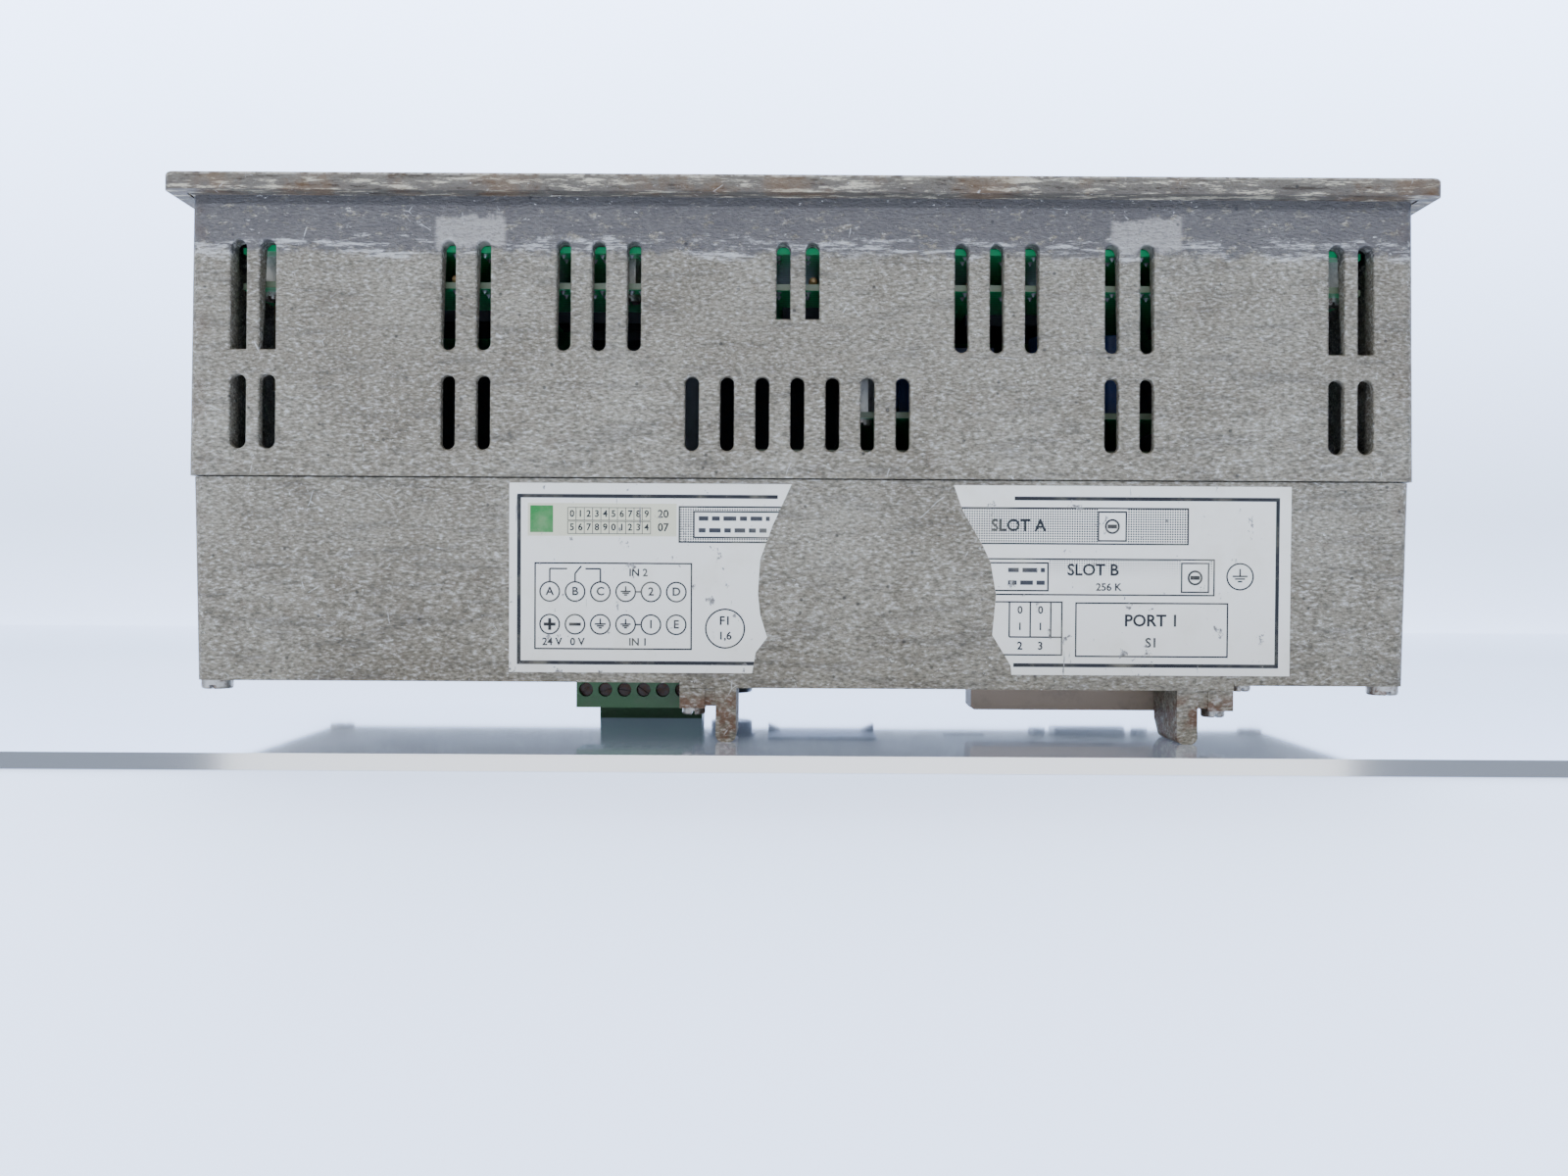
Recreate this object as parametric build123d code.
"""Panel-mount electronic counter unit in a two-part cast metal housing.

Frame: +Z up through the front panel, X along the long side, origin on the standing plane under the
middle of the front flange. The unit stands on the legs of its plug-in interface module, front up.
The labelled long side faces -Y. In a control panel that side is the top, so the keys read towards -Y.
All sizes are millimetres.
"""

import os

from build123d import *

# ---------------------------------------------------------------- driving sizes
# stack heights, from the standing plane upwards
leg_height = 15.0
rear_depth = 52.0
front_depth = 71.0
flange_thickness = 4.6

# front housing
flange_length = 320.0
flange_width = 120.0
flange_overhang = 5.0
flange_corner = 2.5
flange_edge_round = 1.0
front_draft = 0.45
seat_relief = 0.7
seat_relief_depth = 0.4
wall = 2.6
thick_wall = 5.2
thick_wall_drop = 11.3
thin_wall_drop = 39.0
front_skin = 3.0
body_corner = 3.0
inner_corner = 1.6

# rear housing
seam_step = 0.85
rear_draft = 0.9
seam_gap = 0.35
lip_height = 2.2
lip_thickness = 1.2
lip_clearance = 0.15
rear_skin = 3.0

# housing screws
screw_inset = 4.1
screw_radius = 2.0
screw_head_radius = 3.9
screw_head_height = 2.4
screw_slot_width = 1.2
screw_slot_depth = 1.1
screw_grip = 12.0
screw_grip_spare = 2.0
pillar_radius = 4.6
pillar_rise = 0.4
pillar_gap = 0.2
screw_hole_clearance = 0.25
thread_clearance = 0.05

# ventilation slots
slot_axis_x = -1.1
slot_width = 3.5
end_slot_width = 4.0
slot_pitch = 8.9
end_slot_pitch = 7.4
end_group_inset = 16.0
side_group_offset = 84.0
triple_group_offset = 50.4
upper_slot_top = 11.3
slot_bar = 6.4
middle_slot_rise = 8.3
lower_slot_length = 18.8
lower_slot_foot = 6.8
lower_slot_count = 7
slot_edge_round = 0.6

# front plate
overlay_thickness = 0.4
overlay_recess = 0.5
overlay_margin = 5.0
overlay_gap = 0.5
window_end_margin = 25.0
window_key_gap = 55.0
window_y = -14.0
window_width = 40.0
window_rebate = 3.0
window_thickness = 1.5
window_overlap = 2.0
lens_gap = 0.2
display_top_gap = 0.2
display_rim = 5.0
display_glass_height = 2.4
display_glass_sink = 0.3

# keys
key_block_inset = 60.0
key_pitch = 22.0
key_columns = 3
key_rows = 4
key_length = 16.0
key_width = 14.0
key_gap = 0.3
key_proud = 0.6
key_travel = 0.5
key_flange = 1.0
key_flange_thickness = 1.0
key_corner = 1.2
key_top_round = 0.5
key_stem_radius = 1.7
key_stem_reach = 1.4
switch_size = 6.2
switch_height = 3.6
switch_floor = 1.0
switch_bore_gap = 0.2

# status lights
light_count = 4
light_pitch = 30.0
light_y = 24.0
light_radius = 1.5
light_dome = 0.9
light_sink = 0.1
light_gap = 0.2

# boards
board_thickness = 1.6
front_board_drop = 11.3
main_board_drop = 20.6
power_board_drop = 52.7
board_end_gap = 4.8
board_side_gap = 0.8
board_notch = 3.0
power_board_left = 12.0
power_board_right = 100.0
power_board_margin = 5.0
power_screw_inset = 4.0
io_board_height = 17.0
io_board_left_offset = -66.0
io_board_right_offset = 128.0
io_board_near_gap = 7.7
io_board_far_gap = 5.7
io_screw_inset = 4.0
io_last_screw_inset = 22.0
bay_board_gap = 1.0
board_hole = 1.7
spacer_flats = 5.5
board_screw_radius = 1.5
board_screw_head_radius = 2.75
board_screw_head_height = 1.9
board_screw_slot_width = 0.8
board_screw_slot_depth = 0.9
board_screw_grip = 5.0
board_screw_hole = 6.0
boss_radius = 3.2
boss_end_inset = 6.0
boss_side_inset = 8.0
middle_boss_gap = 25.0
post_length = 23.8
post_end_inset = 4.5
post_side_inset = 21.0
post_thread_length = 2.4
shield_end_gap = 2.0
shield_thickness = 0.8
shield_top_gap = 2.2
shield_height = 68.0

# parts on the boards
chip_height = 3.0
large_chip = 28.0
middle_chip = 26.0
small_chip = 20.0
long_chip_length = 36.0
short_chip_length = 30.0
narrow_chip_width = 13.0
choke_length = 26.0
choke_width = 24.0
choke_height = 20.0
winding_length = 30.0
winding_width = 14.0
winding_margin = 4.0
large_can_radius = 8.0
large_can_height = 24.0
wide_can_radius = 6.3
wide_can_height = 22.0
narrow_can_radius = 5.0
narrow_can_height = 16.0
can_pitch = 16.0
can_round = 0.8
relay_length = 20.0
relay_width = 10.5
relay_height = 15.5
relay_plug_distance = 17.0
ribbon_offset = -46.0
ribbon_setback = 21.7
ribbon_width = 32.0
ribbon_thickness = 0.9
ribbon_header_length = 36.0
ribbon_header_width = 8.0
ribbon_header_height = 8.0

# datum of the rear face: places along X on it are measured from a line at this distance from its +X end
rear_datum_inset = 153.7

# terminal plugs, one of them taller so that the unit stands level on it
pole_pitch = 5.08
pole_count = 6
plug_offset = -43.8
plug_width = 12.0
plug_fit = 0.3
signal_plug_proud = 7.7
signal_plug_setback = 15.0
signal_screw_drop = 3.0
supply_plug_setback = 38.7
supply_screw_drop = 6.0
plug_seat_depth = 7.0
tongue_height = 7.0
tongue_thickness = 6.0
tongue_end_inset = 1.0
tongue_top_gap = 0.5
header_gap = 0.3
header_inset = 1.0
terminal_hole_radius = 1.85
terminal_hole_depth = 4.0
terminal_screw_radius = 1.7
terminal_screw_depth = 1.4
terminal_slot_width = 0.6
terminal_slot_depth = 0.7
wire_entry = 2.8
wire_entry_depth = 5.5
wire_entry_shift = 1.2

# fuse holder
fuse_offset = -20.6
fuse_setback = 18.7
fuse_body_radius = 6.2
fuse_body_length = 34.0
fuse_bore_end = 3.0
fuse_flange_radius = 7.6
fuse_flange_height = 1.8
fuse_cap_radius = 6.5
fuse_cap_proud = 9.0
fuse_cap_reach = 5.0
fuse_slot_width = 1.4
fuse_slot_depth = 1.6
fuse_bore = 3.7
fuse_radius = 2.6
fuse_length = 20.0
fuse_end_length = 5.0
fuse_glass_step = 0.25
running_gap = 0.1

# interface module
module_offset = 39.8
module_plate_length = 140.8
module_plate_width = 21.8
module_plate_thickness = 2.0
module_plate_inset = 0.7
leg_offset = 58.6
leg_thickness = 5.2
leg_round = 1.8
leg_heel_round = 3.0
boss_offset = 67.2
boss_length = 6.4
boss_width = 12.0
boss_setback = 0.4
boss_proud = 6.5
web_setback = 0.9
web_width = 9.1
web_rise = 0.6
module_tab_width = 13.0
captive_setback = 7.0
captive_radius = 1.5
captive_head_radius = 3.0
captive_head_height = 2.0
captive_slot_width = 0.9
captive_slot_depth = 1.0
captive_grip = 10.0
captive_boss_height = 6.0
bay_length = 109.0
bay_near = 8.0
bay_width = 12.0
module_port_depth = 10.0
module_board_gap = 8.0
module_board_end_gap = 1.0

# memory module
memory_left_offset = 46.7
memory_length = 57.8
memory_setback = 29.7
memory_width = 11.0
memory_proud = 8.5
memory_chamfer = 0.9
memory_tongue_inset = 4.0
memory_groove_length = 23.0
memory_groove_width = 3.0
memory_groove_depth = 1.4

# setting switch
switch_offset = 54.0
switch_setback = 14.2
setting_face_height = 5.0
lever_count = 4
lever_pitch = 2.54
lever_width = 1.1
lever_length = 1.5
lever_travel = 2.0
lever_proud = 1.2
lever_slot_depth = 2.0
lever_gap = 0.1
setting_body_length = 12.0
setting_body_width = 7.0
setting_window_gap = 0.5

# connectors of the D type, 15 way
shell_length = 25.0
shell_width = 8.4
shell_lean = 1.3
shell_wall = 0.6
shell_height = 7.0
shell_flange_length = 39.2
shell_flange_width = 12.5
shell_flange_thickness = 1.0
shell_corner = 1.5
shell_gap = 0.3
post_spacing = 33.3
post_flats = 4.75
post_height = 3.5
post_shank_radius = 1.4
post_hole_radius = 1.6
post_thread_radius = 1.25
pin_rows = (8, 7)
pin_pitch = 2.77
pin_row_pitch = 2.84
pin_radius = 0.75
pin_depth = 5.0
serial_offset = 94.8
serial_setback = 10.7
module_port_offset = 8.0

# battery bay
battery_offset = 8.0
battery_setback = 17.7
battery_cover_length = 34.0
battery_cover_width = 26.0
battery_cover_thickness = 1.5
battery_cover_corner = 1.5
battery_collar_height = 2.5
battery_collar_wall = 1.5
battery_lug_height = 3.7
battery_lug_base = 4.7
battery_lug_width = 6.0
battery_lug_inset = 3.0
battery_ledge = 2.0
battery_radius = 7.2
battery_length = 25.0
battery_floor_gap = 0.6

# earth screw
earth_offset = 114.2
earth_setback = 8.0
earth_grip = 7.0
earth_boss_height = 5.0

# printed label
label_left_offset = -73.9
label_right_offset = 124.2
label_bottom_gap = 2.5
label_top_gap = 1.5
label_thickness = 0.15

# ---------------------------------------------------------------- derived levels and outlines
rear_z = leg_height
seam_z = rear_z + rear_depth
seat_z = seam_z + front_depth
top_z = seat_z + flange_thickness
overlay_bed_z = top_z - overlay_recess
front_inner_z = overlay_bed_z - front_skin
floor_z = rear_z + rear_skin
rear_pillar_z = seam_z + lip_height + pillar_rise
pillar_foot_z = rear_pillar_z + pillar_gap
upper_slot_length = front_depth - upper_slot_top - slot_bar - lower_slot_length - lower_slot_foot
lower_slot_top = upper_slot_top + upper_slot_length + slot_bar

seat_length = flange_length - 2 * flange_overhang
seat_width = flange_width - 2 * flange_overhang
seam_length = seat_length + 2 * front_draft
seam_width = seat_width + 2 * front_draft
rear_top_length = seam_length - 2 * seam_step
rear_top_width = seam_width - 2 * seam_step
rear_length = rear_top_length - 2 * rear_draft
rear_width = rear_top_width - 2 * rear_draft
near_y = -rear_width / 2
far_y = rear_width / 2
tight_length = seat_length - 2 * thick_wall
tight_width = seat_width - 2 * thick_wall
bed_length = flange_length - 2 * overlay_margin
bed_width = flange_width - 2 * overlay_margin
end_group_offset = seat_length / 2 - end_group_inset

key_block_x = key_block_inset - flange_length / 2
key_block_edge = key_block_x + (key_columns - 1) / 2 * key_pitch + key_length / 2
window_right = flange_length / 2 - window_end_margin
window_left = key_block_edge + window_key_gap
window_length = window_right - window_left
window_x = (window_left + window_right) / 2

board_length = tight_length - 2 * board_end_gap
board_width = tight_width - 2 * board_side_gap
power_board_width = board_width - 2 * power_board_margin
front_board_z = seat_z - front_board_drop - board_thickness
main_board_z = seat_z - main_board_drop - board_thickness
power_board_z = seat_z - power_board_drop - board_thickness
io_board_z = rear_z + io_board_height
screw_x = rear_length / 2 - screw_inset
screw_y = rear_width / 2 - screw_inset

# places on the rear face
rear_datum_x = rear_length / 2 - rear_datum_inset
plug_x = rear_datum_x + plug_offset
plug_length = pole_count * pole_pitch
signal_plug_y = near_y + signal_plug_setback + plug_width / 2
supply_plug_y = far_y - supply_plug_setback
fuse_x = rear_datum_x + fuse_offset
fuse_y = far_y - fuse_setback
ribbon_x = rear_datum_x + ribbon_offset
ribbon_y = far_y - ribbon_setback
module_x = rear_datum_x + module_offset
module_plate_z = rear_z + module_plate_inset - module_plate_thickness
module_plate_top = rear_z + module_plate_inset
module_port_x = rear_datum_x + module_port_offset
module_port_y = near_y + bay_near + bay_width / 2
captive_y = near_y + captive_setback
memory_x = rear_datum_x + memory_left_offset + memory_length / 2
memory_y = near_y + memory_setback
switch_x = rear_datum_x + switch_offset
switch_y = far_y - switch_setback
setting_face_z = rear_z + setting_face_height
serial_x = rear_datum_x + serial_offset
serial_y = far_y - serial_setback
battery_x = rear_datum_x + battery_offset
battery_y = far_y - battery_setback
earth_x = rear_datum_x + earth_offset
earth_y = near_y + earth_setback
io_board_left = rear_datum_x + io_board_left_offset
io_board_right = rear_datum_x + io_board_right_offset
io_board_near_y = near_y + io_board_near_gap
io_board_far_y = far_y - io_board_far_gap
io_board_top = io_board_z + board_thickness
label_left = rear_datum_x + label_left_offset
label_right = rear_datum_x + label_right_offset


# ---------------------------------------------------------------- shape helpers
def block(x0, x1, y0, y1, z0, z1):
    """An upright box between six limits."""
    middle = Pos((x0 + x1) / 2, (y0 + y1) / 2, (z0 + z1) / 2)
    return middle * Box(x1 - x0, y1 - y0, z1 - z0)


def centred_block(x, y, length, width, z0, z1):
    """A box centred on x, y between two levels."""
    return Pos(x, y, (z0 + z1) / 2) * Box(length, width, z1 - z0)


def rounded_block(x, y, length, width, z0, z1, radius):
    """A box with rounded vertical edges."""
    outline = Pos(x, y, z0) * RectangleRounded(length, width, radius)
    return extrude(outline, amount=z1 - z0)


def rod(x, y, z0, z1, radius):
    """A round bar along Z."""
    return Pos(x, y, (z0 + z1) / 2) * Cylinder(radius, z1 - z0)


def rod_along_y(x, z, y0, y1, radius):
    """A round bar along Y."""
    return Pos(x, (y0 + y1) / 2, z) * Rot(90, 0, 0) * Cylinder(radius, y1 - y0)


def hexagon_bar(x, y, z0, z1, flats):
    """A hexagon bar along Z, its size given across the flats."""
    outline = Pos(x, y, z0) * RegularPolygon(flats / 2, 6, major_radius=False)
    return extrude(outline, amount=z1 - z0)


def tapered_block(length0, width0, z0, length1, width1, z1, radius):
    """A drafted block whose rounded outline changes evenly from z0 to z1."""
    low = Pos(0, 0, z0) * RectangleRounded(length0, width0, radius)
    high = Pos(0, 0, z1) * RectangleRounded(length1, width1, radius)
    return loft([low.face(), high.face()])


def corners(half_x, half_y):
    """The four corner places of a centred rectangle."""
    return [(sx * half_x, sy * half_y) for sx in (-1, 1) for sy in (-1, 1)]


def slotted_screw(x, y, seat, head_radius, head_height, slot_width, slot_depth, radius, length):
    """A pan-head screw whose head hangs below the seat level and whose shank goes up."""
    head = rod(x, y, seat - head_height, seat, head_radius)
    head = fillet(head.edges().group_by(Axis.Z)[0], head_height * 0.3)
    shank = rod(x, y, seat, seat + length, radius)
    low = seat - head_height
    slot = centred_block(x, y, slot_width, 2 * head_radius + 1, low, low + slot_depth)
    return head + shank - slot


def d_outline(length, width, lean, radius):
    """The D-shaped outline of a connector shell, its long side towards +Y."""
    half = width / 2
    long_half = length / 2
    points = [(-long_half, half), (long_half, half), (long_half - lean, -half), (-long_half + lean, -half)]
    outline = make_face(Polyline(*points, close=True))
    return fillet(outline.vertices(), radius)


def pin_places():
    """Pin places of a 15-way connector about its centre."""
    places = []
    for row, count in enumerate(pin_rows):
        y = (0.5 - row) * pin_row_pitch
        places += [((i - (count - 1) / 2) * pin_pitch, y) for i in range(count)]
    return places


def save(shape, name):
    """Writes one sub-part as its own STEP file."""
    shape.label = name
    export_step(shape, f"parts/{name}.step")


def group(solids):
    """Several separate solids kept in one sub-part."""
    return Compound(children=[s for part in solids for s in part.solids()])


# ---------------------------------------------------------------- places shared by several pieces
def key_places():
    """Name and centre of each key. The first row lies nearest -Y and the first column at high X."""
    names = ["7", "8", "9", "4", "5", "6", "1", "2", "3", "0", "clear", "enter"]
    places = []
    for i, name in enumerate(names):
        row, column = divmod(i, key_columns)
        x = key_block_x - (column - (key_columns - 1) / 2) * key_pitch
        y = (row - (key_rows - 1) / 2) * key_pitch
        places.append((f"key_{name}", x, y))
    return places


def light_places():
    return [(window_x + (i - (light_count - 1) / 2) * light_pitch, light_y) for i in range(light_count)]


def front_boss_places():
    """Bosses near the ends of the front board and in the gap between keys and window."""
    end = board_length / 2 - boss_end_inset
    side = board_width / 2 - boss_side_inset
    middle = key_block_edge + middle_boss_gap
    return [(x, y) for x in (-end, middle, end) for y in (-side, side)]


def power_spacer_places():
    half = power_board_width / 2 - power_screw_inset
    ends = (power_board_left + power_screw_inset, power_board_right - power_screw_inset)
    return [(x, y) for x in ends for y in (-half, half)]


def io_boss_places():
    """Three corners of the rear board, and a place beside the module bay."""
    left = io_board_left + io_screw_inset
    right = io_board_right - io_screw_inset
    near = io_board_near_y + io_screw_inset
    far = io_board_far_y - io_screw_inset
    return [(left, near), (left, far), (right, far), (right, io_board_near_y + io_last_screw_inset)]


def post_places():
    return corners(board_length / 2 - post_end_inset, board_width / 2 - post_side_inset)


def captive_places():
    return [module_x - boss_offset, module_x + boss_offset]


def pole_places():
    return [plug_x + (i - (pole_count - 1) / 2) * pole_pitch for i in range(pole_count)]


# ---------------------------------------------------------------- front housing
def vent_slot(x, top, length, width, square_end, side):
    """One upright slot cut through a long wall. Its top end is round, its lower end round or square."""
    reach = seam_width / 2
    y0, y1 = sorted((side * (reach - thick_wall - 4.0), side * (reach + 1.0)))
    radius = width / 2
    z1 = seat_z - top
    z0 = z1 - length
    low = z0 if square_end else z0 + radius
    cut = block(x - radius, x + radius, y0, y1, low, z1 - radius)
    cut += rod_along_y(x, z1 - radius, y0, y1, radius)
    if not square_end:
        cut += rod_along_y(x, z0 + radius, y0, y1, radius)
    return cut


def vent_slots():
    """The slot pattern, the same in both long walls."""
    cuts = []
    for side in (-1, 1):
        for sign in (-1, 1):
            for step in (-0.5, 0.5):
                x = sign * end_group_offset + step * end_slot_pitch
                cuts.append(vent_slot(x, upper_slot_top, upper_slot_length, end_slot_width, True, side))
                cuts.append(vent_slot(x, lower_slot_top, lower_slot_length, end_slot_width, False, side))
                x = slot_axis_x + sign * side_group_offset + step * slot_pitch
                cuts.append(vent_slot(x, upper_slot_top, upper_slot_length, slot_width, False, side))
                cuts.append(vent_slot(x, lower_slot_top, lower_slot_length, slot_width, False, side))
            for step in (-1, 0, 1):
                x = slot_axis_x + sign * triple_group_offset + step * slot_pitch
                cuts.append(vent_slot(x, upper_slot_top, upper_slot_length, slot_width, False, side))
        for step in (-0.5, 0.5):
            x = slot_axis_x + step * end_slot_pitch
            length = upper_slot_length - middle_slot_rise
            cuts.append(vent_slot(x, upper_slot_top, length, slot_width, True, side))
        for i in range(lower_slot_count):
            x = slot_axis_x + (i - (lower_slot_count - 1) / 2) * slot_pitch
            cuts.append(vent_slot(x, lower_slot_top, lower_slot_length, slot_width, False, side))
    return cuts


def front_housing():
    """Cast front half: flange, front plate and the upper walls with their ventilation slots."""
    flange = rounded_block(0, 0, flange_length, flange_width, seat_z, top_z, flange_corner)
    flange = fillet(flange.edges().group_by(Axis.Z)[-1], flange_edge_round)
    walls = tapered_block(seam_length, seam_width, seam_z, seat_length, seat_width, seat_z, body_corner)
    thin_z = seat_z - thin_wall_drop
    thick_z = seat_z - thick_wall_drop
    inner_length = seam_length - 2 * wall
    inner_width = seam_width - 2 * wall
    low_cavity = rounded_block(0, 0, inner_length, inner_width, seam_z, thin_z, inner_corner)
    mid_cavity = tapered_block(
        inner_length, inner_width, thin_z, tight_length, tight_width, thick_z, inner_corner
    )
    top_cavity = rounded_block(0, 0, tight_length, tight_width, thick_z, front_inner_z, inner_corner)
    shape = flange + walls - low_cavity - mid_cavity - top_cavity

    # corner pillars that take the housing screws, kept inside the outer skin
    envelope = tapered_block(seam_length, seam_width, seam_z, seat_length, seat_width, seat_z, body_corner)
    for x, y in corners(screw_x, screw_y):
        pillar = rod(x, y, pillar_foot_z, front_inner_z, pillar_radius)
        shape += pillar & envelope
    for x, y in front_boss_places():
        shape += rod(x, y, front_board_z + board_thickness, front_inner_z, boss_radius)

    # shallow groove round the body, so that the edge of the panel clears the draft of the walls
    relief_length = seat_length + 2 * seat_relief
    relief_width = seat_width + 2 * seat_relief
    relief = centred_block(0, 0, relief_length, relief_width, seat_z - 1, seat_z + seat_relief_depth)
    shape -= relief - centred_block(0, 0, seat_length, seat_width, seat_z - 2, top_z)

    # openings in the front plate
    shape -= rounded_block(0, 0, bed_length, bed_width, overlay_bed_z, top_z + 1, flange_corner)
    shape -= centred_block(window_x, window_y, window_length, window_width, front_inner_z - 1, top_z)
    rebate_length = window_length + 2 * window_rebate
    rebate_width = window_width + 2 * window_rebate
    rebate_z = overlay_bed_z - window_thickness
    shape -= centred_block(window_x, window_y, rebate_length, rebate_width, rebate_z, top_z)
    shape -= front_holes(front_inner_z - 1, top_z)
    for x, y in corners(screw_x, screw_y):
        end = pillar_foot_z + screw_grip + screw_grip_spare
        shape -= rod(x, y, pillar_foot_z - 1, end, screw_radius + thread_clearance)
    for x, y in front_boss_places():
        hole_z = front_board_z + board_thickness
        shape -= rod(x, y, hole_z - 1, hole_z + board_screw_hole, board_screw_radius + thread_clearance)
    for cut in vent_slots():
        shape -= cut
    return soften_slots(shape)


def soften_slots(shape):
    """Rounds the outer rim of every ventilation slot."""
    middle_z = (seam_z + seat_z) / 2
    for side in (-1, 1):
        walls = shape.faces().filter_by(lambda face: abs(face.center().Z - middle_z) < front_depth / 4)
        outer = walls.sort_by(Axis.Y)[0 if side < 0 else -1]
        rims = [edge for wire in outer.inner_wires() for edge in wire.edges()]
        shape = fillet(rims, slot_edge_round)
    return shape


def front_holes(low, high):
    """Openings for the keys and the lamps, the same in the front plate and in the foil."""
    length = key_length + 2 * key_gap
    width = key_width + 2 * key_gap
    holes = [rounded_block(x, y, length, width, low, high, key_corner) for _, x, y in key_places()]
    holes += [rod(x, y, low, high, light_radius + light_gap) for x, y in light_places()]
    return group(holes)


def front_overlay():
    """Thin foil bonded in the shallow bed of the front plate."""
    length = bed_length - 2 * overlay_gap
    width = bed_width - 2 * overlay_gap
    low, high = overlay_bed_z, overlay_bed_z + overlay_thickness
    shape = rounded_block(0, 0, length, width, low, high, flange_corner - overlay_gap)
    clear_length = window_length - 2 * window_overlap
    clear_width = window_width - 2 * window_overlap
    shape -= centred_block(window_x, window_y, clear_length, clear_width, low - 1, high + 1)
    return shape - front_holes(low - 1, high + 1)


def display_window():
    """Clear lens lying in the rebate under the foil."""
    length = window_length + 2 * window_rebate - 2 * lens_gap
    width = window_width + 2 * window_rebate - 2 * lens_gap
    return centred_block(window_x, window_y, length, width, overlay_bed_z - window_thickness, overlay_bed_z)


def key(x, y):
    """One short-travel key: cap, retaining flange under the plate, and stem down to its switch."""
    top = overlay_bed_z + overlay_thickness + key_proud
    cap = rounded_block(x, y, key_length, key_width, front_inner_z, top, key_corner - key_gap)
    cap = fillet(cap.edges().group_by(Axis.Z)[-1], key_top_round)
    flange_z = front_inner_z - key_flange_thickness
    length = key_length + 2 * key_flange
    width = key_width + 2 * key_flange
    flange = rounded_block(x, y, length, width, flange_z, front_inner_z, key_corner)
    switch_top = front_board_z + board_thickness + switch_height
    stem = rod(x, y, switch_top - key_stem_reach, flange_z, key_stem_radius)
    return cap + flange + stem


def key_switches():
    """Switch bodies on the front board, each bored for the stem of its key."""
    bodies = []
    low = front_board_z + board_thickness
    for _, x, y in key_places():
        body = centred_block(x, y, switch_size, switch_size, low, low + switch_height)
        body -= rod(x, y, low + switch_floor, low + switch_height + 1, key_stem_radius + switch_bore_gap)
        bodies.append(body)
    return group(bodies)


def status_lights():
    """Round indicator lamps that stand on the front board and end just under the foil's face."""
    lamps = []
    top = overlay_bed_z + overlay_thickness - light_sink
    for x, y in light_places():
        lamp = rod(x, y, front_board_z + board_thickness, top, light_radius)
        lamps.append(fillet(lamp.edges().group_by(Axis.Z)[-1], light_dome))
    return group(lamps)


# ---------------------------------------------------------------- display
def display_frame():
    """Frame of the display, standing on the front board under the window."""
    low = front_board_z + board_thickness
    high = front_inner_z - display_top_gap
    frame = centred_block(window_x, window_y, window_length, window_width, low, high)
    length = window_length - 2 * display_rim
    width = window_width - 2 * display_rim
    pocket = centred_block(window_x, window_y, length, width, high - display_glass_height, high + 1)
    return frame - pocket


def display_glass():
    """Glass of the display, lying in the pocket of its frame."""
    high = front_inner_z - display_top_gap
    length = window_length - 2 * display_rim - 2 * lens_gap
    width = window_width - 2 * display_rim - 2 * lens_gap
    low = high - display_glass_height
    return centred_block(window_x, window_y, length, width, low, high - display_glass_sink)


# ---------------------------------------------------------------- boards and what they carry
def drilled(board, places, low):
    for x, y in places:
        board -= rod(x, y, low - 1, low + board_thickness + 1, board_hole)
    return board


def wide_board(low):
    """A board that fills the housing, notched at its corners for the pillars."""
    high = low + board_thickness
    board = centred_block(0, 0, board_length, board_width, low, high)
    for x, y in corners(board_length / 2, board_width / 2):
        board -= centred_block(x, y, 2 * board_notch, 2 * board_notch, low - 1, high + 1)
    return board


def front_board():
    return drilled(wide_board(front_board_z), front_boss_places(), front_board_z)


def main_board():
    holes = front_boss_places() + power_spacer_places() + post_places()
    return drilled(wide_board(main_board_z), holes, main_board_z)


def power_board():
    half = power_board_width / 2
    top = power_board_z + board_thickness
    board = block(power_board_left, power_board_right, -half, half, power_board_z, top)
    return drilled(board, power_spacer_places(), power_board_z)


def io_board():
    """Board behind the rear face. It is cut away for the module bay, the fuse holder and the battery."""
    low, high = io_board_z - 1, io_board_top + 1
    board = block(io_board_left, io_board_right, io_board_near_y, io_board_far_y, io_board_z, io_board_top)
    bay_left = module_x - module_plate_length / 2 - 2 * bay_board_gap
    bay_back = near_y + module_plate_width + bay_board_gap
    board -= block(bay_left, io_board_right + 1, near_y - 1, bay_back, low, high)
    board -= rod(fuse_x, fuse_y, low, high, fuse_body_radius + 1.5 * bay_board_gap)
    length = battery_cover_length + 2 * bay_board_gap
    board -= centred_block(battery_x, battery_y, length, battery_cover_width, low, high)
    return drilled(board, io_boss_places(), io_board_z)


def shield_plate():
    """Sheet-metal screen soldered along the far edge of the main board."""
    y0 = board_width / 2
    top = front_board_z - shield_top_gap
    half = board_length / 2 - shield_end_gap
    return block(-half, half, y0, y0 + shield_thickness, top - shield_height, top)


def board_spacers():
    """Hexagon spacers between the boards."""
    spacers = []
    for x, y in front_boss_places():
        bar = hexagon_bar(x, y, main_board_z + board_thickness, front_board_z, spacer_flats)
        spacers.append(bar - rod(x, y, main_board_z, front_board_z + 1, board_hole))
    for x, y in power_spacer_places():
        bar = hexagon_bar(x, y, power_board_z + board_thickness, main_board_z, spacer_flats)
        spacers.append(bar - rod(x, y, power_board_z, main_board_z + 1, board_hole))
    return group(spacers)


def board_posts():
    """Brass posts that hang under the ends of the main board."""
    posts = []
    for x, y in post_places():
        bar = hexagon_bar(x, y, main_board_z - post_length, main_board_z, spacer_flats)
        thread_end = main_board_z + board_thickness + post_thread_length
        posts.append(bar + rod(x, y, main_board_z, thread_end, board_screw_radius))
    return group(posts)


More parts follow.
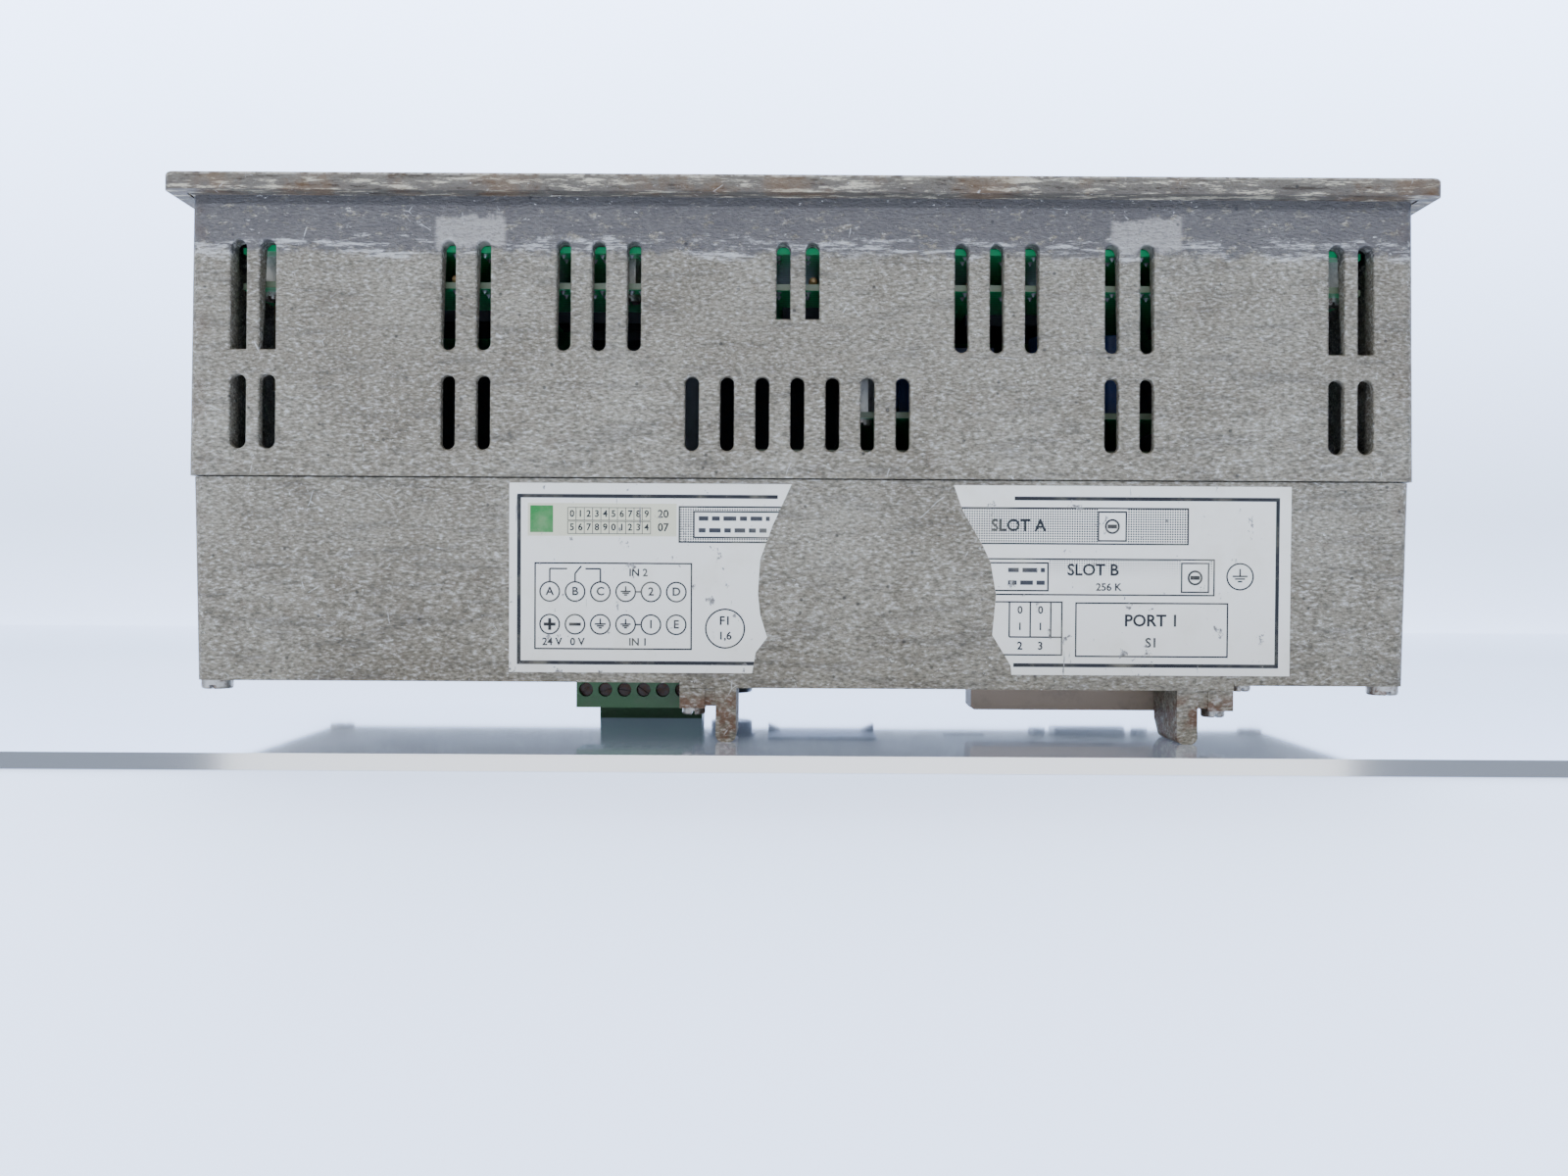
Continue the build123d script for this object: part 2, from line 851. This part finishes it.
def small_screw(x, y, seat, length):
    """One screw of the kind used on the boards and at the earth point, its head down."""
    return slotted_screw(
        x,
        y,
        seat,
        board_screw_head_radius,
        board_screw_head_height,
        board_screw_slot_width,
        board_screw_slot_depth,
        board_screw_radius,
        length,
    )


def small_screws():
    """Pan-head screws of the boards, and the same screw at the earth point of the rear face."""
    through_both = front_board_z + board_thickness + board_screw_grip - main_board_z
    screws = [small_screw(x, y, main_board_z, through_both) for x, y in front_boss_places()]
    through_spacer = main_board_z + board_thickness + post_thread_length - power_board_z
    screws += [small_screw(x, y, power_board_z, through_spacer) for x, y in power_spacer_places()]
    upright = small_screw(0, 0, 0, io_board_height - rear_skin)
    screws += [Pos(x, y, io_board_top) * Rot(180, 0, 0) * upright for x, y in io_boss_places()]
    screws.append(small_screw(earth_x, earth_y, rear_z, earth_grip))
    return group(screws)


def processor_chips():
    """Integrated circuits on the underside of the main board."""
    end = board_length / 2
    square = [(50 - end, -8, middle_chip), (60, -5, large_chip), (end - 33, -10, small_chip)]
    outlines = [(x, y, size, size) for x, y, size in square]
    outlines += [(-50, side * narrow_chip_width, long_chip_length, narrow_chip_width) for side in (-1, 1)]
    row = 1.6 * narrow_chip_width
    outlines += [(10, step * row, short_chip_length, narrow_chip_width) for step in (-1, 0)]
    low = main_board_z - chip_height
    return group([centred_block(x, y, length, width, low, main_board_z) for x, y, length, width in outlines])


def power_components():
    """Wound choke and electrolytic capacitors on the power board."""
    low = power_board_z + board_thickness
    x = power_board_left + 28.0
    y = -choke_width / 2 - 2.0
    core = centred_block(x, y, choke_length, choke_width, low, low + choke_height)
    coil_top = low + choke_height - winding_margin
    coil = centred_block(x, y, winding_length, winding_width, low + winding_margin, coil_top)
    parts = [core + coil]
    last_x = power_board_right - can_pitch
    wide = (wide_can_radius, wide_can_height)
    narrow = (narrow_can_radius, narrow_can_height)
    for row, (radius, height) in enumerate((wide, narrow)):
        for column in (0, 1):
            can = rod(last_x - column * can_pitch, -30.0 + row * 22.0, low, low + height, radius)
            parts.append(fillet(can.edges().group_by(Axis.Z)[-1], can_round))
    can_x = power_board_left + large_can_radius + 10.0
    can = rod(can_x, choke_width, low, low + large_can_height, large_can_radius)
    parts.append(fillet(can.edges().group_by(Axis.Z)[-1], can_round))
    return group(parts)


def relay():
    """Sealed change-over relay on the board behind the rear face."""
    y = supply_plug_y - relay_plug_distance
    return centred_block(plug_x, y, relay_length, relay_width, io_board_top, io_board_top + relay_height)


def ribbon_headers():
    """Two headers that face each other, one on the rear board and one under the main board."""
    size = (ribbon_header_length, ribbon_header_width)
    lower = centred_block(ribbon_x, ribbon_y, *size, io_board_top, io_board_top + ribbon_header_height)
    upper = centred_block(ribbon_x, ribbon_y, *size, main_board_z - ribbon_header_height, main_board_z)
    return group([lower, upper])


def ribbon_cable():
    """Flat cable stretched between the two headers."""
    low = io_board_top + ribbon_header_height
    high = main_board_z - ribbon_header_height
    return centred_block(ribbon_x, ribbon_y, ribbon_width, ribbon_thickness, low, high)


# ---------------------------------------------------------------- rear housing
def rear_envelope(grow=0.0):
    """Outer block of the rear housing, optionally grown by a skin."""
    return tapered_block(
        rear_length + 2 * grow,
        rear_width + 2 * grow,
        rear_z,
        rear_top_length + 2 * grow,
        rear_top_width + 2 * grow,
        seam_z - seam_gap,
        body_corner,
    )


def rear_housing():
    """Cast rear half: the lower walls and the rear plate with an opening for each connector."""
    shape = rear_envelope()
    inner_length = rear_length - 2 * wall
    inner_width = rear_width - 2 * wall
    lip_length = seam_length - 2 * wall - 2 * lip_clearance
    lip_width = seam_width - 2 * wall - 2 * lip_clearance
    lip_top = seam_z + lip_height
    shape += rounded_block(0, 0, lip_length, lip_width, seam_z - 6.0, lip_top, body_corner)
    shape -= rounded_block(0, 0, inner_length, inner_width, floor_z, seam_z - 4.0, body_corner)
    lip_inner_length = lip_length - 2 * lip_thickness
    lip_inner_width = lip_width - 2 * lip_thickness
    shape -= tapered_block(
        inner_length,
        inner_width,
        seam_z - 4.0,
        lip_inner_length,
        lip_inner_width,
        lip_top,
        body_corner,
    )

    # corner pillars, bored for the long housing screws
    for x, y in corners(screw_x, screw_y):
        pillar = rod(x, y, rear_z, rear_pillar_z, pillar_radius)
        bound = rounded_block(0, 0, lip_length, lip_width, seam_z - seam_gap, lip_top + 1, body_corner)
        shape += pillar & (rear_envelope() + bound)
        shape -= rod(x, y, rear_z - 1, lip_top + 1, screw_radius + screw_hole_clearance)

    # bosses for the board behind the rear plate, the captive screws and the earth screw
    screw_hole = board_screw_radius + thread_clearance
    for x, y in io_boss_places():
        shape += rod(x, y, floor_z - 0.5, io_board_z, boss_radius)
        shape -= rod(x, y, floor_z, io_board_z + 1, screw_hole)
    for x in captive_places():
        shape += rod(x, captive_y, floor_z - 0.5, floor_z + captive_boss_height, boss_radius)
    shape += rod(earth_x, earth_y, floor_z - 0.5, floor_z + earth_boss_height, boss_radius)
    shape -= rod(earth_x, earth_y, rear_z - 1, floor_z + earth_boss_height + 1, screw_hole)

    # module bay and the rebate of its plate
    low, high = rear_z - 1, floor_z + 1
    half_plate = module_plate_length / 2 + plug_fit / 2
    half_wide = leg_offset + leg_thickness / 2 + plug_fit / 2
    tab_back = near_y + module_tab_width + plug_fit / 2
    plate_back = near_y + module_plate_width + plug_fit / 2
    shape -= block(module_x - half_plate, module_x + half_plate, near_y - 2, tab_back, low, module_plate_top)
    shape -= block(module_x - half_wide, module_x + half_wide, near_y - 2, plate_back, low, module_plate_top)
    half_bay = bay_length / 2
    bay_y0 = near_y + bay_near
    shape -= block(module_x - half_bay, module_x + half_bay, bay_y0, bay_y0 + bay_width, low, high)
    for x in captive_places():
        end = floor_z + captive_boss_height + 1
        shape -= rod(x, captive_y, low, end, captive_radius + thread_clearance)

    # terminal plugs, memory module, fuse, battery, switch and serial port
    fit = 2 * plug_fit
    for y in (signal_plug_y, supply_plug_y):
        shape -= centred_block(plug_x, y, plug_length + fit, plug_width + fit, low, high)
    shape -= centred_block(memory_x, memory_y, memory_length + fit, memory_width + fit, low, high)
    shape -= rod(fuse_x, fuse_y, low, high, fuse_body_radius + running_gap)
    bay_size = [size - 2 * battery_ledge for size in (battery_cover_length, battery_cover_width)]
    shape -= centred_block(battery_x, battery_y, *bay_size, low, high)
    window = [size + 2 * setting_window_gap for size in (setting_body_length, setting_body_width)]
    shape -= centred_block(switch_x, switch_y, *window, low, high)
    opening = d_outline(shell_length + 2 * shell_gap, shell_width + 2 * shell_gap, shell_lean, shell_corner)
    shape -= extrude(Pos(serial_x, serial_y, low) * opening, amount=high - low)
    for x in serial_post_places():
        shape -= rod(x, serial_y, low, high, post_hole_radius)
    return shape


def serial_post_places():
    return [serial_x - post_spacing / 2, serial_x + post_spacing / 2]


def housing_screws():
    """Four long screws through the rear housing into the pillars of the front housing."""
    length = pillar_foot_z + screw_grip - rear_z
    head = (screw_head_radius, screw_head_height, screw_slot_width, screw_slot_depth)
    return group(
        [slotted_screw(x, y, rear_z, *head, screw_radius, length) for x, y in corners(screw_x, screw_y)]
    )


# ---------------------------------------------------------------- terminal plugs and headers
def terminal_plug(y, proud, screw_side, screw_drop):
    """A six-pole screw plug. Wires enter from below, and the clamping screws face screw_side."""
    low = rear_z - proud
    seat = rear_z + plug_seat_depth
    body = centred_block(plug_x, y, plug_length, plug_width, low, seat)
    tongue_length = plug_length - 2 * tongue_end_inset
    body += centred_block(plug_x, y, tongue_length, tongue_thickness, seat, seat + tongue_height)
    face = y + screw_side * plug_width / 2
    for x in pole_places():
        y0, y1 = sorted((face - screw_side * terminal_hole_depth, face + screw_side))
        body -= rod_along_y(x, rear_z - screw_drop, y0, y1, terminal_hole_radius)
        entry_y = y - screw_side * wire_entry_shift
        body -= centred_block(x, entry_y, wire_entry, wire_entry, low - 1, low + wire_entry_depth)
    return body


def terminal_screws(y, screw_side, screw_drop):
    """The slotted clamping screws of one plug."""
    screws = []
    face = y + screw_side * plug_width / 2
    head_y = face - screw_side * terminal_screw_depth
    slot = Box(2 * terminal_screw_radius + 1, 2 * terminal_slot_depth, terminal_slot_width)
    for i, x in enumerate(pole_places()):
        y0, y1 = sorted((face - screw_side * terminal_hole_depth, head_y))
        screw = rod_along_y(x, rear_z - screw_drop, y0, y1, terminal_screw_radius)
        angle = 25.0 * (i % 4) - 40.0
        screws.append(screw - Pos(x, head_y, rear_z - screw_drop) * Rot(0, angle, 0) * slot)
    return group(screws)


def socket_body(x, y, length, width, tongue_length):
    """Shrouded socket on the rear board that takes the tongue of a plug."""
    low = rear_z + plug_seat_depth + header_gap
    body = centred_block(x, y, length, width - 2 * header_inset, low, io_board_z)
    pocket_top = rear_z + plug_seat_depth + tongue_height + tongue_top_gap
    fit = 2 * plug_fit
    return body - centred_block(x, y, tongue_length + fit, tongue_thickness + fit, low - 1, pocket_top)


def terminal_headers():
    tongue_length = plug_length - 2 * tongue_end_inset
    places = (signal_plug_y, supply_plug_y)
    return group([socket_body(plug_x, y, plug_length, plug_width, tongue_length) for y in places])


# ---------------------------------------------------------------- fuse
def fuse_holder():
    """Holder body with its flange against the rear face and a bore for the fuse."""
    z0 = rear_z - fuse_flange_height
    top = rear_z + fuse_body_length
    body = rod(fuse_x, fuse_y, rear_z, top, fuse_body_radius)
    body += rod(fuse_x, fuse_y, z0, rear_z, fuse_flange_radius)
    return body - rod(fuse_x, fuse_y, z0 - 1, top - fuse_bore_end, fuse_bore)


def fuse_cap():
    """Bayonet cap with a screwdriver slot and a stem that grips the fuse."""
    z0 = rear_z - fuse_cap_proud
    z1 = rear_z - fuse_flange_height - running_gap
    knob = rod(fuse_x, fuse_y, z0, z1, fuse_cap_radius)
    knob = fillet(knob.edges().group_by(Axis.Z)[0], 1.0)
    stem = rod(fuse_x, fuse_y, z1, rear_z + fuse_cap_reach - running_gap, fuse_bore - running_gap)
    slot_top = z0 + fuse_slot_depth
    slot = centred_block(fuse_x, fuse_y, fuse_slot_width, 2 * fuse_cap_radius + 1, z0 - 1, slot_top)
    return knob + stem - slot


def fuse_link():
    """Cartridge fuse: glass tube between two end caps, as one solid."""
    low = rear_z + fuse_cap_reach
    high = low + fuse_length
    tube = rod(fuse_x, fuse_y, low + 1, high - 1, fuse_radius - fuse_glass_step)
    lower_end = rod(fuse_x, fuse_y, low, low + fuse_end_length, fuse_radius)
    upper_end = rod(fuse_x, fuse_y, high - fuse_end_length, high, fuse_radius)
    return tube + lower_end + upper_end


# ---------------------------------------------------------------- interface module
def module_leg(x):
    """A guard leg: a fin with a rounded foot, flush with the near side of the housing."""
    y0, y1 = near_y, near_y + module_plate_width
    leg = centred_block(x, (y0 + y1) / 2, leg_thickness, y1 - y0, 0, module_plate_z)
    heel = leg.edges().filter_by(Axis.X).group_by(Axis.Z)[0].sort_by(Axis.Y)[-1]
    leg = chamfer(heel, leg_heel_round)
    foot = leg.edges().filter_by(Axis.X, reverse=True)
    foot = foot.filter_by(lambda edge: edge.center().Z < leg_heel_round)
    return fillet(foot, leg_round)


def module_frame():
    """Cast plate of the interface module with two guard legs and two screw bosses."""
    y0 = near_y
    low, top = module_plate_z, module_plate_top
    half_wide = leg_offset + leg_thickness / 2
    half_plate = module_plate_length / 2
    shape = block(module_x - half_wide, module_x + half_wide, y0, y0 + module_plate_width, low, top)
    shape += block(module_x - half_plate, module_x + half_plate, y0, y0 + module_tab_width, low, top)
    boss_low = rear_z - boss_proud
    boss_y = y0 + boss_setback + boss_width / 2
    web_y0 = y0 + web_setback
    for side in (-1, 1):
        leg_x = module_x + side * leg_offset
        boss_x = module_x + side * boss_offset
        shape += module_leg(leg_x)
        shape += centred_block(boss_x, boss_y, boss_length, boss_width, boss_low, low)
        x0, x1 = sorted((leg_x, boss_x))
        shape += block(x0, x1, web_y0, web_y0 + web_width, boss_low + web_rise, low)
        shape -= rod(boss_x, captive_y, boss_low - 1, top + 1, captive_radius + running_gap)
    opening = d_outline(shell_length + shell_gap, shell_width + shell_gap, shell_lean, shell_corner)
    port = Pos(module_port_x, module_port_y, low - 1) * opening
    return shape - extrude(port, amount=module_plate_thickness + 2)


def module_port():
    """Socket behind the module plate, its shell flush with the outer face."""
    x, y = module_port_x, module_port_y
    flange_top = module_plate_top + shell_flange_thickness
    flange = centred_block(x, y, shell_flange_length, bay_width - 0.8, module_plate_top, flange_top)
    body_top = module_plate_top + module_port_depth
    body = centred_block(x, y, shell_length + 4.0, bay_width - 1.6, flange_top, body_top)
    low = module_plate_z + running_gap
    outline = Pos(x, y, low) * d_outline(shell_length, shell_width, shell_lean, shell_corner)
    shape = flange + body + extrude(outline, amount=module_plate_top - low)
    for px, py in pin_places():
        shape -= rod(x + px, y + py, low - 1, module_plate_top, pin_radius)
    return shape


def module_board():
    """Upright board of the interface module, standing on the port and ending under the power board."""
    y = module_port_y
    half = bay_length / 2 - module_board_end_gap
    low = module_plate_top + module_port_depth
    high = power_board_z - module_board_gap
    half_board = board_thickness / 2
    return block(module_x - half, module_x + half, y - half_board, y + half_board, low, high)


def captive_screw(x):
    seat = rear_z - boss_proud
    head = (captive_head_radius, captive_head_height, captive_slot_width, captive_slot_depth)
    return slotted_screw(x, captive_y, seat, *head, captive_radius, boss_proud + captive_grip)


# ---------------------------------------------------------------- memory module
def memory_module():
    """Plug-in memory cartridge with a bevelled end and a finger groove."""
    low = rear_z - memory_proud
    seat = rear_z + plug_seat_depth
    body = centred_block(memory_x, memory_y, memory_length, memory_width, low, seat)
    lower_ends = body.edges().filter_by(Axis.Y).group_by(Axis.Z)[0]
    body = chamfer(lower_ends, memory_chamfer)
    tongue_length = memory_length - 2 * memory_tongue_inset
    body += centred_block(memory_x, memory_y, tongue_length, tongue_thickness, seat, seat + tongue_height)
    groove = (memory_groove_length, memory_groove_width, low - 1, low + memory_groove_depth)
    return body - centred_block(memory_x, memory_y, *groove)


def memory_socket():
    tongue_length = memory_length - 2 * memory_tongue_inset
    return socket_body(memory_x, memory_y, memory_length, memory_width, tongue_length)


# ---------------------------------------------------------------- setting switch
def lever_x(index):
    return switch_x + (index - (lever_count - 1) / 2) * lever_pitch


def setting_switch():
    """Four-way switch block, its levers facing the window in the rear plate."""
    low = setting_face_z
    body = centred_block(switch_x, switch_y, setting_body_length, setting_body_width, low, io_board_z)
    slot_width = lever_width + 2 * lever_gap
    slot_length = lever_length + lever_travel + 2 * lever_gap
    for i in range(lever_count):
        body -= centred_block(lever_x(i), switch_y, slot_width, slot_length, low - 1, low + lever_slot_depth)
    return body


def setting_lever(index):
    """One lever, resting at the -Y end of its slot."""
    y = switch_y - lever_travel / 2
    low = setting_face_z - lever_proud
    high = setting_face_z + lever_slot_depth - lever_gap
    return centred_block(lever_x(index), y, lever_width, lever_length, low, high)


# ---------------------------------------------------------------- serial port
def serial_shell():
    """Metal shell and flange, fixed against the inside of the rear plate."""
    low = floor_z - shell_height
    high = floor_z + shell_flange_thickness
    shape = centred_block(serial_x, serial_y, shell_flange_length, shell_flange_width, floor_z, high)
    outer = d_outline(shell_length, shell_width, shell_lean, shell_corner)
    shape += extrude(Pos(serial_x, serial_y, low) * outer, amount=shell_height)
    length = shell_length - 2 * shell_wall
    inner = d_outline(length, shell_width - 2 * shell_wall, shell_lean, shell_corner - shell_wall)
    shape -= extrude(Pos(serial_x, serial_y, low - 1) * inner, amount=high - low + 2)
    for x in serial_post_places():
        shape -= rod(x, serial_y, floor_z - 1, high + 1, post_hole_radius)
    return shape


def serial_insert():
    """Plastic insert with the contact holes, and the body behind the flange."""
    step = 2 * (shell_wall + running_gap / 2)
    low = floor_z - shell_height + shell_gap
    back = floor_z + shell_flange_thickness
    face = d_outline(shell_length - step, shell_width - step, shell_lean, shell_corner - shell_wall)
    shape = extrude(Pos(serial_x, serial_y, low) * face, amount=back - low)
    shape += centred_block(
        serial_x, serial_y, shell_length + 3.0, shell_flange_width - 2.0, back, io_board_z
    )
    for px, py in pin_places():
        shape -= rod(serial_x + px, serial_y + py, low - 1, low + pin_depth, pin_radius)
    return shape


def serial_posts():
    """Two threaded hexagon posts beside the serial port."""
    posts = []
    low = rear_z - post_height
    for x in serial_post_places():
        post = hexagon_bar(x, serial_y, low, rear_z, post_flats)
        post += rod(x, serial_y, rear_z, floor_z + 2.5, post_shank_radius)
        posts.append(post - rod(x, serial_y, low - 1, rear_z - 0.4, post_thread_radius))
    return group(posts)


# ---------------------------------------------------------------- battery
def battery_cover():
    """Push-in cover with two finger lugs and a collar that locates in the bay."""
    high = rear_z
    low = high - battery_cover_thickness
    size = (battery_cover_length, battery_cover_width)
    cover = rounded_block(battery_x, battery_y, *size, low, high, battery_cover_corner)
    outer = [side - 2 * battery_ledge - 2 * plug_fit for side in size]
    inner = [side - 2 * battery_collar_wall for side in outer]
    collar = centred_block(battery_x, battery_y, *outer, high, high + battery_collar_height)
    collar -= centred_block(battery_x, battery_y, *inner, high, high + battery_collar_height + 1)
    cover += collar
    lug_y = battery_y + battery_cover_width / 2 - battery_lug_inset - battery_lug_width
    for side in (-1, 1):
        end = battery_x + side * battery_cover_length / 2
        root = end - side * battery_lug_base
        outline = make_face(Polyline((end, low), (root, low), (end, low - battery_lug_height), close=True))
        lug = extrude(Plane.XZ * outline, amount=-battery_lug_width)
        cover += Pos(0, lug_y, 0) * lug
    return cover


def battery():
    """Lithium cell lying along X inside the bay."""
    z = floor_z + battery_floor_gap + battery_radius
    return Pos(battery_x, battery_y, z) * Rot(0, 90, 0) * Cylinder(battery_radius, battery_length)


# ---------------------------------------------------------------- printed label
def torn_edge(*points):
    """A ragged edge from the top of the label down. Points give X from the datum and share of the height."""
    low = rear_z + label_bottom_gap
    span = seam_z - label_top_gap - low
    return [(rear_datum_x + x, low + share * span) for x, share in points]


def label_outline():
    """Two pieces of the printed label. The middle has been torn away, which leaves ragged edges."""
    low = rear_z + label_bottom_gap
    high = seam_z - label_top_gap
    left_tear = torn_edge((-2.4, 1.0), (-7.2, 0.78), (-10.3, 0.6), (-10.8, 0.42))
    left_tear += torn_edge((-10.2, 0.31), (-8.4, 0.19), (-11.3, 0.11), (-12.2, 0.0))
    right_tear = torn_edge((38.7, 1.0), (40.9, 0.87), (46.2, 0.68), (48.2, 0.59))
    right_tear += torn_edge((49.6, 0.42), (48.7, 0.21), (53.4, 0.05), (53.7, 0.0))
    left = [(label_left, low), (label_left, high)] + left_tear
    right = [(label_right, low), (label_right, high)] + right_tear
    return [make_face(Polyline(*points, close=True)) for points in (left, right)]


def wiring_label():
    """Thin vinyl label on the drafted near side of the rear housing."""
    skin = rear_envelope(label_thickness) - rear_envelope()
    pieces = []
    for face in label_outline():
        prism = extrude(Plane.XZ * face, amount=rear_top_width)
        pieces.append(skin & prism)
    return group(pieces)


# ---------------------------------------------------------------- write the sub-parts
def main():
    os.makedirs("parts", exist_ok=True)
    pieces = {
        "front_housing": front_housing(),
        "front_overlay": front_overlay(),
        "display_window": display_window(),
        "display_frame": display_frame(),
        "display_glass": display_glass(),
        "status_lights": status_lights(),
        "key_switches": key_switches(),
        "front_board": front_board(),
        "main_board": main_board(),
        "power_board": power_board(),
        "io_board": io_board(),
        "shield_plate": shield_plate(),
        "board_spacers": board_spacers(),
        "board_posts": board_posts(),
        "small_screws": small_screws(),
        "processor_chips": processor_chips(),
        "power_components": power_components(),
        "relay": relay(),
        "ribbon_headers": ribbon_headers(),
        "ribbon_cable": ribbon_cable(),
        "rear_housing": rear_housing(),
        "housing_screws": housing_screws(),
        "signal_plug": terminal_plug(signal_plug_y, signal_plug_proud, -1, signal_screw_drop),
        "signal_plug_screws": terminal_screws(signal_plug_y, -1, signal_screw_drop),
        "supply_plug": terminal_plug(supply_plug_y, leg_height, 1, supply_screw_drop),
        "supply_plug_screws": terminal_screws(supply_plug_y, 1, supply_screw_drop),
        "terminal_headers": terminal_headers(),
        "fuse_holder": fuse_holder(),
        "fuse_cap": fuse_cap(),
        "fuse_link": fuse_link(),
        "module_frame": module_frame(),
        "module_port": module_port(),
        "module_board": module_board(),
        "captive_screw_left": captive_screw(captive_places()[0]),
        "captive_screw_right": captive_screw(captive_places()[1]),
        "memory_module": memory_module(),
        "memory_socket": memory_socket(),
        "setting_switch": setting_switch(),
        "serial_shell": serial_shell(),
        "serial_insert": serial_insert(),
        "serial_posts": serial_posts(),
        "battery_cover": battery_cover(),
        "battery": battery(),
        "wiring_label": wiring_label(),
    }
    for name, x, y in key_places():
        pieces[name] = key(x, y)
    for i in range(lever_count):
        pieces[f"setting_lever_{i + 1}"] = setting_lever(i)
    for name, shape in pieces.items():
        save(shape, name)


main()
